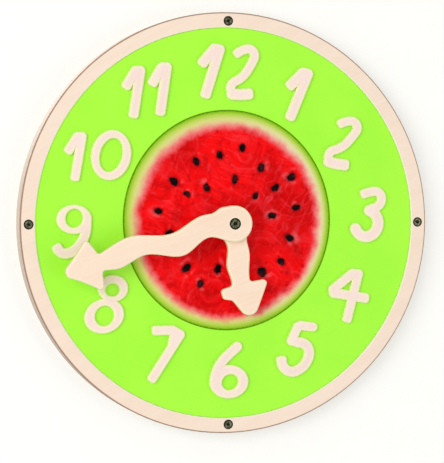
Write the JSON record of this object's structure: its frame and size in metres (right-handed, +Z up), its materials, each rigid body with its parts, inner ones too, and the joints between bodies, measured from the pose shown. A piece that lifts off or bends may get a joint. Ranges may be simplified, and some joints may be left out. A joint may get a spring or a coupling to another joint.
{
  "type": "teaching clock",
  "caption": "Round wooden classroom clock with raised numerals, a green dial, a fruit-slice centre picture and two wavy hands turned by hand for teaching the time.",
  "frame": {"origin": "middle of the back face, which lies flat on the wall", "axes": "+Z up towards twelve, the dial faces -Y, +X to the viewer's right towards three"},
  "size_m": [0.3999, 0.0453, 0.4],
  "materials": {
    "board_wood": "pale birch board, plain sawn edge",
    "rim_wood": "pale sanded birch with browned cut edges",
    "numeral_wood": "pale sanded wood with softened edges",
    "hand_wood": "smooth pale sanded wood",
    "spacer_wood": "turned pale wood",
    "dial_face": "board painted matt bright green",
    "picture_print": "printed round fruit slice, matt",
    "dark_screw": "dark oxide steel, slightly worn",
    "plated_steel": "zinc plated steel",
    "slip_washer": "natural white nylon"
  },
  "bodies": {
    "clock_body": {"back_board": "board_wood", "rim_ring": "rim_wood", "green_dial": "dial_face", "centre_picture": "picture_print", "hub_spacer": "spacer_wood", "hour_hand_washer": "slip_washer", "minute_hand_washer": "slip_washer", "pivot_screw": "dark_screw", "rim_screws": "dark_screw", "pivot_washer": "plated_steel", "pivot_nut": "plated_steel", "rim_insert_nuts": "plated_steel", "hanger_plate": "plated_steel", "hanger_screws": "plated_steel", "numeral_1": "numeral_wood", "numeral_2": "numeral_wood", "numeral_3": "numeral_wood", "numeral_4": "numeral_wood", "numeral_5": "numeral_wood", "numeral_6": "numeral_wood", "numeral_7": "numeral_wood", "numeral_8": "numeral_wood", "numeral_9": "numeral_wood", "numeral_10": "numeral_wood", "numeral_11": "numeral_wood", "numeral_12": "numeral_wood"},
    "hour_hand": {"hour_hand": "hand_wood"},
    "minute_hand": {"minute_hand": "hand_wood"}
  },
  "joints": [
    {"name": "hour_hand_turn", "type": "hinge", "parent": "clock_body", "child": "hour_hand", "pos_m": [0, -0.0351, 0], "axis": [0, 1, 0], "continuous": true},
    {"name": "minute_hand_turn", "type": "hinge", "parent": "clock_body", "child": "minute_hand", "pos_m": [0, -0.0423, 0], "axis": [0, 1, 0], "continuous": true}
  ]
}
